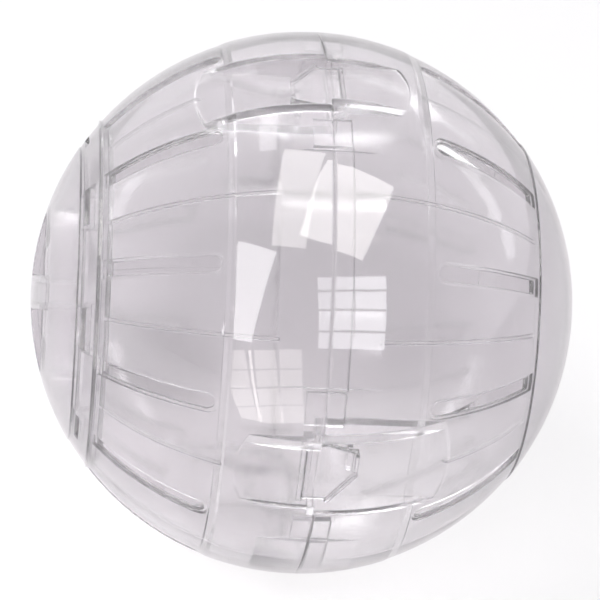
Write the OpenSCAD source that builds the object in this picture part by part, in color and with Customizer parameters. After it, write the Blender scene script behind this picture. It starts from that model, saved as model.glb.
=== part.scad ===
// Clear exercise ball for a small rodent: two snap-together halves and a lift-off door.
// X is the ball's axis, with the door at -X. Z is up. The origin is the ball's centre.
// An angle phi turns about X: 0 is the front (-Y), 90 the top (+Z), 180 the back.

/* [Shell] */
// Diameter over the belt and the caps
ball_d = 180; // [170:1:190]
// Wall thickness of the shells and the door
wall = 2; // [1.7:0.1:2.3]
// How far the slotted zone is set back from the belt and the caps
zone_drop = 0.35; // [0.3:0.01:0.35]
// Distance from the seam to the edge of the belt
belt_edge = 29.2; // [28.5:0.1:30]
// Width of the bevel between the belt and the slotted zone
bevel_w = 2.6; // [2.5:0.1:2.7]
// Gap at the seam between the two halves
seam_gap = 0.2; // [0.1:0.05:0.4]
// Chamfer on both outer edges of the seam
seam_chamfer = 0.5; // [0.3:0.05:0.8]

/* [Slots and ribs] */
// Number of slots, and of thin ribs, round each half
rib_count = 12; // [12]
// Width of a slot at its round end, next to the belt
slot_w = 5; // [4:0.1:6]
// Width of a slot at its square end, next to the cap
slot_root_w = 4; // [3:0.1:5]
// Distance from the seam to a slot's round end
slot_start = 33.3; // [33:0.1:36]
// Land left between the step at a slot's square end and the rim of its cap
slot_land = 0.2; // [0.1:0.1:2]
// Width of the step in the outer face round a slot
slot_step_w = 0.9; // [0.6:0.1:1.1]
// Depth of the step round a slot
slot_step = 0.6; // [0.4:0.1:0.8]
// Width of a thin rib
rib_w = 1; // [0.7:0.1:1.4]
// Height of a thin rib on the inner face
rib_h = 1; // [0.6:0.1:1.4]

/* [Seam pads and lips] */
// Distance from the seam to the edge of a thick pad
pad_edge = 15.8; // [14:0.1:18]
// Angle that a pad and its lip cover, between two pockets
pad_angle = 49; // [44:1:50]
// How far a lip reaches past the seam
lip_reach = 6; // [4:0.1:8]
// Thickness of a lip
lip_t = 1.6; // [1.2:0.1:1.7]
// Running gap between a lip and the wall that it slides in
lip_gap = 0.1; // [0.08:0.01:0.1]
// Angle that a small tab beside a lip covers
tab_angle = 7; // [5:0.5:7]
// Angle left free between a lip and the tab beside it
tab_space = 1; // [0.5:0.1:1.5]

/* [Latch pockets] */
// Width of a deep pocket
deep_w = 28.2; // [26:0.1:29]
// Depth of a deep pocket in the middle of the belt
deep_depth = 10.3; // [9.5:0.1:11]
// Width of a shallow pocket
shallow_w = 23; // [22.5:0.1:24]
// Depth of a shallow pocket in the middle of the belt
shallow_depth = 3.9; // [3.7:0.1:4.1]

/* [Latch tongues] */
// How far a tongue reaches past the seam
tongue_reach = 12.2; // [11.5:0.1:13]
// Thickness of a tongue at its root
tongue_t = 2; // [1.6:0.1:2.2]
// Free space on each side of a tongue in its shallow pocket
tongue_side = 0.7; // [0.5:0.1:1.2]
// Width of a tongue's tip
tongue_tip_w = 8; // [6:0.1:9]
// Distance from the seam to the line that a tongue bends about
tongue_root = 3.4; // [3.2:0.1:4]
// Height of the raised edge for a fingernail
tongue_edge_h = 1.3; // [1:0.1:1.5]
// Depth of the nose under the tip
nose_h = 0.8; // [0.6:0.1:1]
// Free space between a tongue and what lies round it
latch_gap = 0.3; // [0.25:0.05:0.4]

/* [Door] */
// Radius of the rim that the door sits in
rim_r = 56.3; // [55:0.1:58]
// Thickness of the wall round the rim
rim_t = 1.1; // [0.9:0.1:1.6]
// Thickness of the ledge inside the rim
ledge_t = 1.4; // [1.2:0.1:1.8]
// Width of the flange round the door's raised dome, with the gap at its edge
flange_w = 7.9; // [7.4:0.1:8.6]
// Gap round the door's edge, and between the door and its ledge
door_gap = 0.4; // [0.3:0.05:0.6]
// How far the door's flange lies below the dome
flange_drop = 0.35; // [0.2:0.05:0.5]
// Thickness of the door's flange
flange_t = 1.1; // [0.9:0.1:1.3]
// Number of lugs under the door
lug_count = 8; // [8]
// Angle that a lug covers
lug_angle = 15; // [12:1:17]
// How far a lug stands out past the edge of the dome
lug_reach = 3.6; // [3:0.1:4]
// Thickness of the arm that carries a lug
arm_t = 1.8; // [1.4:0.1:2.2]
// Thickness of a lug
lug_t = 1.6; // [1.2:0.1:2]
// Width of the slit above a lug
slit_w = 1.8; // [1.4:0.1:2]
// Radius of the round dish in the middle of the door
dish_r = 27; // [25:0.5:29]
// Depth of the dish below the pole
dish_depth = 14.4; // [12:0.1:15]
// Width of the two grip bars that cross the dish
bar_w = 10.8; // [9:0.1:12]
// Wall of the hollow grip bars
bar_wall = 2.2; // [2.1:0.1:2.8]
// Angle phi that one of the grip bars points to
bar_phi = 37; // [0:1:90]
// Angle phi of the first lug and of the slit above it
lug_phi = 25; // [0:1:45]

/* [Closed cap] */
// Diameter of the round moulding mark at the closed pole
gate_d = 7; // [5:0.5:10]
// Depth of the moulding mark
gate_depth = 0.3; // [0.2:0.05:0.5]

/* [Hidden] */

$fn = 180;
over = 1;                       // how far a cut runs past the face that it opens
clear_tint = [0.84, 0.82, 0.85, 0.4];

full_turn = 360;
half_turn = full_turn / 2;
quarter = full_turn / 4;
rib_step = full_turn / rib_count;
slot_phase = rib_step / 2;
pad_phi = quarter / 2;          // the pads lie midway between the pockets

ball_r = ball_d / 2;
inner_r = ball_r - wall;
zone_r = ball_r - zone_drop;
seam_x = seam_gap / 2;
zone_start = belt_edge + bevel_w;
rim_out_r = rim_r + rim_t;
dome_r = rim_r - flange_w;

// Distance from one axis of a point on a sphere of radius r, from its distance to the other
function on_sphere(r, other) = sqrt(r * r - other * other);

cap_start = on_sphere(zone_r, rim_r);
pad_r = on_sphere(inner_r, pad_edge);

// Local frame of a place on the belt: x along the axis, y round the belt, z outwards
module at_phi(phi)
    rotate([quarter - phi, 0, 0])
        children();

module flip_x()
    mirror([1, 0, 0])
        children();

// A flat shape, drawn as [distance from the axis, distance along it], turned about X
module turned()
    rotate([quarter, 0, quarter])
        rotate_extrude()
            children();

// The same, over an angle that is centred on phi
module turned_part(phi, angle)
    rotate([quarter, 0, quarter])
        rotate([0, 0, half_turn - phi - angle / 2])
            rotate_extrude(angle = angle)
                children();

// What lies outside radius r, from start to stop along the axis
module rebate(start, stop, r)
    difference() {
        translate([0, start])
            square([ball_d, stop - start]);
        circle(r = r);
    }

// Outer face of one half, to the rim or the pole, with the slotted zone set back
module body_profile(stop)
    difference() {
        intersection() {
            circle(r = ball_r);
            square([ball_d, stop]);
        }
        rebate(zone_start, cap_start, zone_r);
        // Bevel at the belt's edge
        polygon([
            [on_sphere(ball_r, belt_edge), belt_edge],
            [on_sphere(zone_r, zone_start), zone_start],
            [ball_d, zone_start + over],
            [ball_d, belt_edge]
        ]);
    }

// The door's flange lies on a ledge, which is sunk by the flange's thickness
flange_r = ball_r - flange_drop;
flange_in_r = flange_r - flange_t;
ledge_r = flange_in_r - door_gap;
ledge_in_r = ledge_r - ledge_t;
opening_r = dome_r + door_gap;

module open_profile()
    difference() {
        body_profile(cap_start);
        square([rim_r, ball_r]);
    }

module ledge_profile()
    difference() {
        union() {
            intersection() {
                circle(r = ledge_r);
                translate([opening_r, 0])
                    square([rim_out_r - opening_r, ball_r]);
            }
            translate([rim_r, 0])
                square([rim_t, cap_start]);
        }
        circle(r = ledge_in_r);
    }

// Thick pads inside the belt, four to a half
module pads() {
    for (q = [0 : 3])
        turned_part(pad_phi + q * quarter, pad_angle)
            intersection() {
                circle(r = inner_r + wall / 4);
                translate([pad_r, seam_x])
                    square([wall + over, pad_edge - seam_x]);
            }
}

// Lips of one half, drawn to reach across the seam to -x
module lips() {
    for (q = [0 : 3])
        turned_part(pad_phi + q * quarter, pad_angle)
            translate([pad_r, -lip_reach])
                square([lip_t, lip_reach + seam_x + lip_t]);
}

// Seats in the pads of the other half, which the lips slide into
module lip_seats() {
    for (q = [0 : 3])
        turned_part(pad_phi + q * quarter, pad_angle + tab_space)
            translate([pad_r - over, 0])
                square([lip_t + lip_gap + over, lip_reach + latch_gap]);
}

// Small tabs on both sides of each seat, which reach across the seam to -x
tab_r = on_sphere(inner_r, lip_reach) - lip_gap;

module tabs() {
    offset_angle = pad_angle / 2 + tab_space + tab_angle / 2;
    for (q = [0 : 3], side = [-1, 1])
        turned_part(pad_phi + q * quarter + side * offset_angle, tab_angle) {
            translate([tab_r - lip_t, -lip_reach])
                square([lip_t, 2 * lip_reach]);
            translate([tab_r - lip_t, seam_x])
                square([lip_t + wall / 2, lip_reach - seam_x]);
        }
}

// Thin ribs on the inner face, from the pads, or from the belt's edge at a pocket
module ribs() {
    intersection() {
        turned()
            difference() {
                intersection() {
                    circle(r = inner_r + wall / 4);
                    square([ball_d, cap_start]);
                }
                circle(r = inner_r - rib_h);
                square([rim_r + rim_t / 2, ball_r]);
            }
        for (k = [0 : rib_count - 1]) {
            phi = k * rib_step;
            start = phi % quarter == 0 ? belt_edge : pad_edge - wall / 4;
            at_phi(phi)
                translate([start, -rib_w / 2, dome_r])
                    cube([cap_start - start, rib_w, ball_r - dome_r]);
        }
    }
}

// Ventilation slots, round at the belt and square beside the cap's rim, each with a step round it
tip_x = slot_start + slot_w / 2;
tip_steps = 12;

// Outline of a slot, grown by side all round, from its tip to past its square end
module slot_shape(side)
    polygon([
        [cap_start, slot_root_w / 2 + side],
        for (i = [0 : tip_steps])
            let (a = quarter + i * half_turn / tip_steps)
                [tip_x + (slot_w / 2 + side) * cos(a), (slot_w / 2 + side) * sin(a)],
        [cap_start, -slot_root_w / 2 - side]
    ]);

// Prisms through the wall in the shape of the slots, which stay clear of the rim by land
module slot_prisms(side, land)
    for (k = [0 : rib_count - 1])
        at_phi(slot_phase + k * rib_step)
            translate([0, 0, rim_out_r + land])
                linear_extrude(height = ball_r)
                    slot_shape(side);

module slots() {
    slot_prisms(0, slot_land + slot_step_w);
    difference() {
        slot_prisms(slot_step_w, slot_land);
        sphere(r = zone_r - slot_step);
    }
}

// What is cut away past the seam, with the chamfer on the outer edge
module seam_cut() {
    translate([-ball_r, -ball_d, -ball_d])
        cube([ball_r + seam_x, 2 * ball_d, 2 * ball_d]);
    turned()
        polygon([
            [ball_r - seam_chamfer, 0],
            [ball_r + over, 0],
            [ball_r + over, seam_x + seam_chamfer + over],
            [ball_r - seam_chamfer, seam_x]
        ]);
}

// Latch pockets, in the local frame at the middle of a pocket, with the deep part at -x
deep_floor = ball_r - deep_depth;
deep_end = on_sphere(ball_r, deep_floor);
deep_under = deep_floor - wall;
deep_out_w = deep_w + 2 * wall;
shallow_floor = ball_r - shallow_depth;
shallow_end = on_sphere(ball_r, shallow_floor);
shallow_out_w = shallow_w + 2 * wall;
tongue_under = shallow_floor - tongue_t;
tongue_mid = shallow_floor - tongue_t / 2;
root_under = tongue_under - latch_gap - wall;

module deep_walls()
    translate([-deep_end - wall, -deep_out_w / 2, deep_under])
        cube([deep_end + wall - seam_x, deep_out_w, ball_r]);

module deep_cut()
    translate([-deep_end - wall - over, -deep_w / 2, deep_floor])
        cube([deep_end + wall + over, deep_w, ball_r]);

module shallow_walls() {
    translate([seam_x, -shallow_out_w / 2, shallow_floor - wall])
        cube([shallow_end, shallow_out_w, ball_r]);
    // Thicker floor under the root of the tongue
    translate([seam_x, -shallow_out_w / 2, root_under])
        cube([tongue_root + tongue_t, shallow_out_w, shallow_floor - root_under]);
    // End wall, which closes the deep pocket of the other half
    translate([seam_x, -deep_out_w / 2, deep_under])
        cube([wall, deep_out_w, ball_r]);
}

module shallow_cut() {
    translate([-over, -shallow_w / 2, shallow_floor])
        cube([shallow_end + 2 * over, shallow_w, ball_r]);
    // Room for the tongue, as far as its round root
    translate([-over, -shallow_w / 2, tongue_under - latch_gap])
        cube([tongue_root + over, shallow_w, ball_r]);
    translate([tongue_root, shallow_w / 2, tongue_mid])
        rotate([quarter, 0, 0])
            cylinder(r = tongue_t / 2 + latch_gap / 2, h = shallow_w);
}

// Low bar on the deep floor that the nose of a tongue snaps over
nose_l = 1.5;
catch_l = 1.6;
catch_w = tongue_tip_w + 2 * latch_gap;
catch_top = tongue_under - nose_h - latch_gap;

module catch_bar()
    translate([nose_l + latch_gap - tongue_reach, -catch_w + latch_gap, deep_floor - wall / 2])
        cube([catch_l, catch_w, catch_top - deep_floor + wall / 2]);

// Spring tongue at rest, in the local frame of its pocket. Its tip runs from -tongue_tip_w
// to 0 along y, so one side is slanted.
tongue_w = shallow_w - 2 * tongue_side;
shoulder_share = 1 / 3;         // of its reach, where the slanted side begins
edge_w = 1.2;

module tongue() {
    half_w = tongue_w / 2;
    shoulder_x = -tongue_reach * shoulder_share;
    slant_x = tongue_reach + shoulder_x;
    translate([0, 0, tongue_under])
        linear_extrude(height = tongue_t)
            polygon([
                [tongue_root, -half_w],
                [tongue_root, half_w],
                [shoulder_x, half_w],
                [-tongue_reach, 0],
                [-tongue_reach, -tongue_tip_w],
                [-tongue_t, -half_w]
            ]);
    // Round root that the tongue bends about
    translate([tongue_root, half_w, tongue_mid])
        rotate([quarter, 0, 0])
            cylinder(r = tongue_t / 2, h = tongue_w);
    // Raised edge along the slanted side and the tip, for a fingernail
    translate([0, 0, tongue_mid])
        linear_extrude(height = tongue_t / 2 + tongue_edge_h)
            polygon([
                [shoulder_x, half_w],
                [-tongue_reach, 0],
                [-tongue_reach, -tongue_tip_w],
                [-tongue_reach + edge_w, -tongue_tip_w],
                [-tongue_reach + edge_w, -edge_w / 2],
                [shoulder_x + edge_w, half_w]
            ]);
    // Nose under the tip
    translate([-tongue_reach, -tongue_tip_w, tongue_under - nose_h])
        cube([nose_l, tongue_tip_w, nose_h + tongue_t / 2]);
}

// The pockets at the top and bottom are deep in the left half, those at the front and back
// in the right half, so they are turned round
module top_pockets()
    for (phi = [quarter, quarter + half_turn])
        at_phi(phi)
            children();

module front_pockets()
    for (phi = [0, half_turn])
        at_phi(phi)
            rotate([0, 0, half_turn])
                children();

// Lugs of the door with the arms that carry them, and the notches that they pass through
lug_r = dome_r + lug_reach;
lug_top = on_sphere(ledge_in_r, lug_r) - door_gap;
arm_out_r = dome_r - wall / 8;  // just inside the dome's edge
arm_in_r = arm_out_r - arm_t;
notch_space = 1.5;              // angle left free on each side of a lug

module round_door(angle)
    for (k = [0 : lug_count - 1])
        turned_part(lug_phi + k * full_turn / lug_count, angle)
            children();

module left_half_shell() {
    color(clear_tint) {
        difference() {
            union() {
                difference() {
                    flip_x()
                        turned()
                            open_profile();
                    sphere(r = inner_r);
                }
                flip_x() {
                    turned()
                        ledge_profile();
                    ribs();
                    pads();
                }
                intersection() {
                    flip_x()
                        turned()
                            body_profile(cap_start);
                    union() {
                        top_pockets()
                            deep_walls();
                        front_pockets()
                            shallow_walls();
                    }
                }
            }
            flip_x()
                seam_cut();
            rotate([0, 0, half_turn])
                slots();
            flip_x()
                round_door(lug_angle + 2 * notch_space)
                    translate([dome_r, 0])
                        square([lug_r + door_gap - dome_r, ball_r]);
            top_pockets()
                deep_cut();
            front_pockets()
                shallow_cut();
        }
        flip_x()
            lips();
        top_pockets()
            catch_bar();
    }
}

module right_half_shell() {
    color(clear_tint) {
        difference() {
            union() {
                difference() {
                    turned()
                        body_profile(ball_d);
                    sphere(r = inner_r);
                }
                ribs();
                pads();
                intersection() {
                    turned()
                        body_profile(cap_start);
                    union() {
                        top_pockets()
                            shallow_walls();
                        front_pockets()
                            deep_walls();
                    }
                }
            }
            seam_cut();
            slots();
            lip_seats();
            top_pockets()
                shallow_cut();
            front_pockets()
                deep_cut();
            // Round moulding mark at the pole
            translate([ball_r - gate_depth, 0, 0])
                rotate([0, quarter, 0])
                    cylinder(d = gate_d, h = over);
        }
        tabs();
        front_pockets()
            catch_bar();
    }
}

// Door: a ring of dome with a flange round it and lugs below, and in its middle a dish with
// two grip bars across
dish_floor = ball_r - dish_depth;
dish_out_r = dish_r + wall;

module door_profile() {
    difference() {
        intersection() {
            circle(r = ball_r);
            translate([dish_out_r, 0])
                square([dome_r - dish_out_r, ball_d]);
        }
        circle(r = inner_r);
    }
    difference() {
        intersection() {
            circle(r = flange_r);
            translate([arm_in_r, 0])
                square([rim_r - door_gap - arm_in_r, ball_d]);
        }
        circle(r = flange_in_r);
    }
}

module lug_profile() {
    lug_under = lug_top - lug_t;
    arm_top = on_sphere(inner_r, arm_in_r) + wall / 4;
    translate([arm_in_r, lug_under])
        square([lug_r - arm_in_r, lug_t]);
    translate([arm_in_r, lug_under])
        square([arm_t, arm_top - lug_under]);
}

module door() {
    color(clear_tint)
        flip_x()
            difference() {
                union() {
                    turned()
                        door_profile();
                    round_door(lug_angle)
                        lug_profile();
                }
                // Slits above the lugs
                round_door(lug_angle)
                    translate([lug_r - slit_w, lug_top + door_gap])
                        square([slit_w, ball_r]);
            }
}

module bar_space(width)
    for (phi = [bar_phi, bar_phi + quarter])
        at_phi(phi)
            translate([0, -width / 2, -ball_r])
                cube([ball_r, width, ball_d]);

module door_grip() {
    color(clear_tint)
        flip_x()
            difference() {
                turned()
                    intersection() {
                        circle(r = ball_r);
                        translate([0, dish_floor - wall])
                            square([dish_out_r, ball_r]);
                    }
                // Four wells between the bars
                difference() {
                    translate([dish_floor, 0, 0])
                        rotate([0, quarter, 0])
                            cylinder(r = dish_r, h = ball_r);
                    bar_space(bar_w);
                }
                // The bars are hollow from behind
                intersection() {
                    turned()
                        intersection() {
                            circle(r = ball_r - bar_wall);
                            translate([0, dish_floor - wall - over])
                                square([dish_out_r + wall, ball_r]);
                        }
                    bar_space(bar_w - 2 * bar_wall);
                }
            }
}

// The front and back tongues belong to the left half, the top and bottom ones to the right
module front_latch()
    color(clear_tint)
        at_phi(0)
            rotate([0, 0, half_turn])
                tongue();

module back_latch()
    color(clear_tint)
        at_phi(half_turn)
            rotate([0, 0, half_turn])
                tongue();

module top_latch()
    color(clear_tint)
        at_phi(quarter)
            tongue();

module bottom_latch()
    color(clear_tint)
        at_phi(quarter + half_turn)
            tongue();

left_half_shell();
right_half_shell();
door();
door_grip();
front_latch();
back_latch();
top_latch();
bottom_latch();
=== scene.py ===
import math

import bpy
from mathutils import Matrix, Vector

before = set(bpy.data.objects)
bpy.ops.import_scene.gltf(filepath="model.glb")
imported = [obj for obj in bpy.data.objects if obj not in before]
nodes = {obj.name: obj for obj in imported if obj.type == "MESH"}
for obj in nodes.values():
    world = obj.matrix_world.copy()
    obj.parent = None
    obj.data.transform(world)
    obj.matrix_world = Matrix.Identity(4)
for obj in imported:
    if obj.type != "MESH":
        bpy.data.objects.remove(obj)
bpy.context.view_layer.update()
scene = bpy.context.scene

R = 0.090                      # ball radius
FLOOR_Z = -0.08926             # lowest edges of the bottom latch pocket
FLOOR_SIZE = 12
FLOOR_GAP = 0.0001             # between those edges and the floor


# ---------------------------------------------------------------- node helpers
def new_material(name):
    m = bpy.data.materials.new(name)
    m.use_nodes = True
    m.node_tree.nodes.clear()
    return m, m.node_tree.nodes, m.node_tree.links


def add(nodes_, kind, inputs=None, **values):
    """A new node with these properties and these values on its sockets."""
    n = nodes_.new(kind)
    for key, value in values.items():
        setattr(n, key, value)
    for key, value in (inputs or {}).items():
        n.inputs[key].default_value = value
    return n


# ---------------------------------------------------------------- clear plastic
TINT = (0.985, 0.98, 0.986)
CLEAR_SHARE = 0.97             # the rest is milky
INDEX = 1.5
SKIN_ROUGHNESS = 0.015
HAZE = (0.08, 0.13)            # roughness below the skin, where it is clearest and haziest
HAZE_SCALE, HAZE_DETAIL = 38, 4
HAZE_FROM = (0.35, 0.75)       # noise values that these two belong to
WAVE = 0.00006
WAVE_SCALE, WAVE_DETAIL = 26, 2
ROUNDING = 0.0008              # radius of the edges, in the shading alone
BELT_EDGE = (0.0293, 0.0318)   # where the belt's bevel begins and ends, as a distance along X
BELT_ACCENT = 0.0010
LAMP_SHARE = (0.74, 0.725, 0.74, 1)


def clear_plastic(name):
    """Moulded clear plastic: polished skin, faint haze within and shallow waves. Lamp light passes
    through every face by a fixed share."""
    m, n, l = new_material(name)
    out = add(n, "ShaderNodeOutputMaterial")
    # The polished skin mirrors sharply, and the haze blurs only what lies behind
    glass = add(n, "ShaderNodeBsdfPrincipled", {
        "Base Color": (*TINT, 1), "Metallic": 0, "IOR": INDEX, "Transmission Weight": CLEAR_SHARE,
        "Specular Tint": (0, 0, 0, 1), "Coat Weight": 1, "Coat Roughness": SKIN_ROUGHNESS,
        "Coat IOR": INDEX})
    coords = add(n, "ShaderNodeTexCoord")

    # Haze, in soft patches
    patch = add(n, "ShaderNodeTexNoise", {"Scale": HAZE_SCALE, "Detail": HAZE_DETAIL})
    span = add(n, "ShaderNodeMapRange", {
        "From Min": HAZE_FROM[0], "From Max": HAZE_FROM[1], "To Min": HAZE[0], "To Max": HAZE[1]})
    l.new(coords.outputs["Object"], patch.inputs["Vector"])
    l.new(patch.outputs["Fac"], span.inputs["Value"])
    l.new(span.outputs["Result"], glass.inputs["Roughness"])

    # Long shallow waves, as a thick moulding shrinks
    swell = add(n, "ShaderNodeTexNoise", {"Scale": WAVE_SCALE, "Detail": WAVE_DETAIL})
    bump = add(n, "ShaderNodeBump", {"Strength": 1, "Distance": WAVE})
    l.new(coords.outputs["Object"], swell.inputs["Vector"])
    l.new(swell.outputs["Fac"], bump.inputs["Height"])
    # Edges are slightly rounded, as a mould leaves them
    edge = add(n, "ShaderNodeBevel", {"Radius": ROUNDING}, samples=4)
    # An accent over the belt's bevel, which the solid has less deep than this bump
    place = add(n, "ShaderNodeSeparateXYZ")
    across = add(n, "ShaderNodeMath", operation="ABSOLUTE")
    drop = add(n, "ShaderNodeMapRange", {
        "From Min": BELT_EDGE[0], "From Max": BELT_EDGE[1], "To Min": 1, "To Max": 0})
    crisp = add(n, "ShaderNodeBump", {"Strength": 1, "Distance": BELT_ACCENT})
    l.new(coords.outputs["Object"], place.inputs[0])
    l.new(place.outputs["X"], across.inputs[0])
    l.new(across.outputs[0], drop.inputs["Value"])
    l.new(drop.outputs["Result"], crisp.inputs["Height"])
    l.new(edge.outputs["Normal"], crisp.inputs["Normal"])
    l.new(crisp.outputs["Normal"], bump.inputs["Normal"])
    l.new(bump.outputs["Normal"], glass.inputs["Normal"])
    l.new(bump.outputs["Normal"], glass.inputs["Coat Normal"])

    lamp = add(n, "ShaderNodeBsdfTransparent", {"Color": LAMP_SHARE})
    path = add(n, "ShaderNodeLightPath")
    mix = add(n, "ShaderNodeMixShader")
    l.new(path.outputs["Is Shadow Ray"], mix.inputs["Fac"])
    l.new(glass.outputs["BSDF"], mix.inputs[1])
    l.new(lamp.outputs["BSDF"], mix.inputs[2])
    l.new(mix.outputs["Shader"], out.inputs["Surface"])
    return m


shell = clear_plastic("clear_shell")
for name in nodes:
    node = nodes[name]
    node.data.materials.clear()
    node.data.materials.append(shell)


# ---------------------------------------------------------------- camera
YAW, ROLL, PITCH = math.radians(6.05), math.radians(2.36), math.radians(37.4)
FRAME_PX = 600
BALL_PX = 271                  # radius of the ball in the photograph
OFF_CENTRE_PX = (1.3, 2.6)     # its middle, right of the frame's middle and below it
DISTANCE = 10                  # in ball radii
SENSOR = 36

# Camera axes, written in the row frame
axis = Vector((math.cos(YAW) * math.cos(ROLL), -math.cos(YAW) * math.sin(ROLL), -math.sin(YAW)))
toward = Vector((0, 0, 1)) - axis * axis.z
toward.normalize()
up = toward.cross(axis)
cad_y = -math.cos(PITCH) * toward + math.sin(PITCH) * up
cad_z = math.sin(PITCH) * toward + math.cos(PITCH) * up
# Rows are the row frame's axes in camera coordinates, so columns are the camera's axes
turn = Matrix((axis, cad_y, cad_z))
cam_x, cam_y, cam_z = turn.col[0], turn.col[1], turn.col[2]

focal_px = BALL_PX / math.tan(math.asin(1 / DISTANCE))
cam = bpy.data.cameras.new("camera")
cam_obj = bpy.data.objects.new("camera", cam)
scene.collection.objects.link(cam_obj)
cam.sensor_width = SENSOR
cam.lens = SENSOR * focal_px / FRAME_PX
cam.clip_start = 0.01
per_px = DISTANCE * R / focal_px
spot = (cam_z * DISTANCE * R - cam_x * OFF_CENTRE_PX[0] * per_px
        + cam_y * OFF_CENTRE_PX[1] * per_px)
cam_obj.matrix_world = Matrix.Translation(spot) @ turn.to_4x4()
scene.camera = cam_obj


# ---------------------------------------------------------------- floor
PAPER = (0.53, 0.503, 0.53, 1)
GLOW = (0.99, 1.045, 0.99, 1)  # makes up for the paper's tint
GLOW_LEVEL = 0.46
THROUGH = 0.10                 # share of the glow that is left through plastic
IN_MIRRORS = 0.55              # share of it that mirrors get
# Two spots that only show through plastic: a painted pool of light under the ball and a painted
# shade behind it at the left. Both are fitted to the photograph's tones.
PAINTED_LIGHT_AT = (0.4 * R, -0.1 * R, 0)
PAINTED_LIGHT_R = (0.2 * R, 1.3 * R)  # where a spot begins to fade and where it ends
PAINTED_LIGHT_LEVEL = 0.22
PAINTED_SHADE_AT = (-0.52 * R, 0.82 * R, 0)
PAINTED_SHADE_R = (0.1 * R, 0.55 * R)
PAINTED_SHADE_SHARE = 0.34


def white_for_eye(n, l, surface):
    """Adds the glow that brings an unshaded pale surface up to white, for the eye and in mirrors.
    Through plastic the surface keeps only a share of it, and has the painted pool of light and the
    painted shade."""
    out = add(n, "ShaderNodeOutputMaterial")
    path = add(n, "ShaderNodeLightPath")
    seen = add(n, "ShaderNodeMath", operation="MAXIMUM")
    mirrored = add(n, "ShaderNodeMath", {1: IN_MIRRORS}, operation="MULTIPLY")
    l.new(path.outputs["Is Glossy Ray"], mirrored.inputs[0])
    l.new(path.outputs["Is Camera Ray"], seen.inputs[0])
    l.new(mirrored.outputs[0], seen.inputs[1])
    part = add(n, "ShaderNodeMapRange", {"To Min": GLOW_LEVEL, "To Max": GLOW_LEVEL * THROUGH})
    l.new(path.outputs["Is Transmission Ray"], part.inputs["Value"])
    strength = add(n, "ShaderNodeMath", operation="MULTIPLY")
    l.new(seen.outputs[0], strength.inputs[0])
    l.new(part.outputs["Result"], strength.inputs[1])
    coords = add(n, "ShaderNodeTexCoord")

    def soft_spot(middle, radii, level):
        reach = add(n, "ShaderNodeVectorMath", operation="DISTANCE")
        reach.inputs[1].default_value = middle
        l.new(coords.outputs["Object"], reach.inputs[0])
        fade = add(n, "ShaderNodeMapRange", {
            "From Min": radii[0], "From Max": radii[1], "To Min": level, "To Max": 0},
            interpolation_type="SMOOTHSTEP")
        l.new(reach.outputs["Value"], fade.inputs["Value"])
        return fade.outputs["Result"]

    # Emission: the glow plus a painted pool of light under the ball, seen through plastic only
    glow_and_painted_light = add(n, "ShaderNodeMath", operation="MULTIPLY_ADD")
    l.new(soft_spot(PAINTED_LIGHT_AT, PAINTED_LIGHT_R, PAINTED_LIGHT_LEVEL), glow_and_painted_light.inputs[0])
    l.new(path.outputs["Is Transmission Ray"], glow_and_painted_light.inputs[1])
    l.new(strength.outputs[0], glow_and_painted_light.inputs[2])
    glow = add(n, "ShaderNodeEmission", {"Color": GLOW})
    l.new(glow_and_painted_light.outputs[0], glow.inputs["Strength"])
    # Painted shade: the paper is mixed towards black in a soft spot, seen through plastic only
    painted_shade = add(n, "ShaderNodeMath", operation="MULTIPLY")
    l.new(soft_spot(PAINTED_SHADE_AT, PAINTED_SHADE_R, PAINTED_SHADE_SHARE), painted_shade.inputs[0])
    l.new(path.outputs["Is Transmission Ray"], painted_shade.inputs[1])
    black = add(n, "ShaderNodeBsdfDiffuse", {"Color": (0, 0, 0, 1)})
    paper_and_painted_shade = add(n, "ShaderNodeMixShader")
    l.new(painted_shade.outputs[0], paper_and_painted_shade.inputs["Fac"])
    l.new(surface.outputs["BSDF"], paper_and_painted_shade.inputs[1])
    l.new(black.outputs["BSDF"], paper_and_painted_shade.inputs[2])
    both = add(n, "ShaderNodeAddShader")
    l.new(paper_and_painted_shade.outputs[0], both.inputs[0])
    l.new(glow.outputs[0], both.inputs[1])
    l.new(both.outputs[0], out.inputs["Surface"])


bpy.ops.mesh.primitive_plane_add(size=FLOOR_SIZE, location=(0, 0, FLOOR_Z - FLOOR_GAP))
floor = bpy.context.object
floor.name = "floor"
m, n, l = new_material("floor_paper")
paper = add(n, "ShaderNodeBsdfDiffuse", {"Color": PAPER})
white_for_eye(n, l, paper)
floor.data.materials.append(m)


# ---------------------------------------------------------------- world
# The room is pale, and dark on the side where the photograph was taken from
ROOM_LEVELS = ((0.0, 0.95), (0.3, 0.64), (0.6, 0.20), (1.0, 0.10))
ROOM_TINT = (1, 0.97, 1.01)

world = bpy.data.worlds.new("studio")
scene.world = world
world.use_nodes = True
n, l = world.node_tree.nodes, world.node_tree.links
n.clear()
out = add(n, "ShaderNodeOutputWorld")
path = add(n, "ShaderNodeLightPath")
eye = add(n, "ShaderNodeBackground", {"Strength": 1})
room = add(n, "ShaderNodeBackground", {"Strength": 1})
coords = add(n, "ShaderNodeTexCoord")
facing = add(n, "ShaderNodeVectorMath", operation="DOT_PRODUCT")
facing.inputs[1].default_value = cam_z
l.new(coords.outputs["Generated"], facing.inputs[0])
sky = add(n, "ShaderNodeValToRGB")
stops = sky.color_ramp.elements
for position, level in ROOM_LEVELS:
    stop = stops[0] if position == 0 else stops[-1] if position == 1 else stops.new(position)
    stop.color = (*(level * share for share in ROOM_TINT), 1)
l.new(facing.outputs["Value"], sky.inputs["Fac"])
l.new(sky.outputs["Color"], room.inputs["Color"])
mix = add(n, "ShaderNodeMixShader")
l.new(path.outputs["Is Camera Ray"], mix.inputs["Fac"])
l.new(room.outputs[0], mix.inputs[1])
l.new(eye.outputs[0], mix.inputs[2])
l.new(mix.outputs[0], out.inputs["Surface"])


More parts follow.
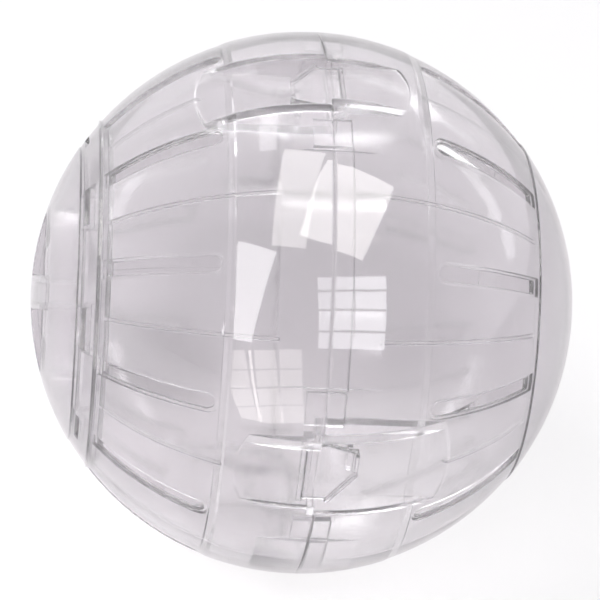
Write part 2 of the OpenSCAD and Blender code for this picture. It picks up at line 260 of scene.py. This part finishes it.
# ---------------------------------------------------------------- lights
FAR = 1.5                      # distance of a panel from the ball's centre
LOW_FAR = 0.5
COOL, WARM = (0.98, 0.985, 1), (1, 0.985, 0.955)
WARM_SIDE, WARM_LOW = (1, 0.985, 0.95), (1, 0.97, 0.925)

# Columns are (start, stop, level) and rows are edges, in degrees from the camera's direction
WINDOW_COLUMNS = ((6.4, 11.8, 5.5), (12.4, 20.8, 6.5), (21.3, 34.0, 7.5))
WINDOW_ROWS = (10.5, 4.6, -2.9, -11.2, -18.4)
LOW_COLUMNS = ((-28, -21.2, 4.0), (-20.4, -19.2, 8.0), (-18.4, -9.5, 3.8), (-8.8, 0.5, 3.2))
LOW_ROWS = (-17.0, -24.5, -31.5, -38.5, -46.0)
BAR = 0.9                      # of the window, between two rows
LOW_FILL = 0.86                # share of its column that a low pane fills

# Strips behind the ball: name, direction, width, height, level
STRIPS = (
    ("back_strip", (0.15, 1, 0.45), 56, 10, 5),
    ("far_strip", (-0.3, 1, 1.2), 50, 6, 5),
    ("left_strip", (-1, 0.55, 0.4), 6, 36, 3),
    ("right_strip", (1, 0.45, 0.45), 6, 36, 3.6),
)


def cam_dir(az, el):
    az, el = math.radians(az), math.radians(el)
    v = Vector((math.sin(az) * math.cos(el), math.sin(el), math.cos(az) * math.cos(el)))
    return (cam_x * v.x + cam_y * v.y + cam_z * v.z).normalized()


def panel(name, d, wide, high, level, tilt=0.0, colour=(1, 1, 1), far=FAR, lights=True,
          mirrored=True, through=False):
    """A soft panel towards d that fills wide x high degrees, seen from the ball, with a radiance
    of level. One with lights off lights nothing else, mirrored says whether the polished skin
    shows it, and through whether it shows through plastic."""
    w = 2 * far * math.tan(math.radians(wide / 2))
    h = 2 * far * math.tan(math.radians(high / 2))
    lamp = bpy.data.lights.new(name, "AREA")
    lamp.shape = "RECTANGLE"
    lamp.size, lamp.size_y = w, h
    lamp.color = colour
    lamp.energy = level * math.pi * w * h          # a lambertian sheet of this radiance
    obj = bpy.data.objects.new(name, lamp)
    scene.collection.objects.link(obj)
    z = d.normalized()
    x = cam_y.cross(z).normalized()
    y = z.cross(x)
    a = math.radians(tilt)
    x, y = x * math.cos(a) + y * math.sin(a), y * math.cos(a) - x * math.sin(a)
    obj.matrix_world = Matrix.Translation(z * far) @ Matrix((x, y, z)).transposed().to_4x4()
    obj.visible_camera = False
    obj.visible_diffuse = lights
    obj.visible_glossy = mirrored
    obj.visible_transmission = through


def panes(name, columns, rows, share, bar, colour, far):
    """A grid of panels that only mirrors show. Each fills a share of its column's width, and bars
    part the rows."""
    for c, (start, stop, level) in enumerate(columns):
        for r in range(len(rows) - 1):
            panel("%s_%d_%d" % (name, c, r),
                  cam_dir((start + stop) / 2, (rows[r] + rows[r + 1]) / 2),
                  (stop - start) * share, rows[r] - rows[r + 1] - bar, level,
                  colour=colour, far=far, lights=False)


# Shapes that the plastic mirrors: a softbox at the left, a barred window at the right, a warm
# softbox above with a dimmer one beside it, and warm panes low at the left
panel("left_softbox", cam_dir(-22.4, 4.2), 15, 37, 7.5, tilt=-15, lights=False)
panes("window", WINDOW_COLUMNS, WINDOW_ROWS, 1, BAR, COOL, FAR)
panel("top_softbox", cam_dir(21.6, 37.7), 27, 35, 7.5, tilt=-29, colour=WARM, lights=False)
panel("top_reflector", cam_dir(-3, 43), 14, 42, 5.5, tilt=-6, colour=WARM_SIDE, lights=False)
panes("low", LOW_COLUMNS, LOW_ROWS, LOW_FILL, BAR / 2, WARM_LOW, LOW_FAR)
# Strips that show through plastic only, mostly at its edges, ribs and slots
for name, d, wide, high, level in STRIPS:
    panel(name, Vector(d), wide, high, level, lights=False, mirrored=False, through=True)
# Lamps that light the floor
panel("fill", cam_dir(0, 2), 44, 40, 3.8, mirrored=False)
panel("key", Vector((-0.75, 0.05, 0.8)), 40, 40, 3.9, mirrored=False)

scene.view_settings.view_transform = "Standard"
scene.cycles.max_bounces = 32
scene.cycles.transmission_bounces = 32
scene.cycles.glossy_bounces = 12
scene.cycles.transparent_max_bounces = 32
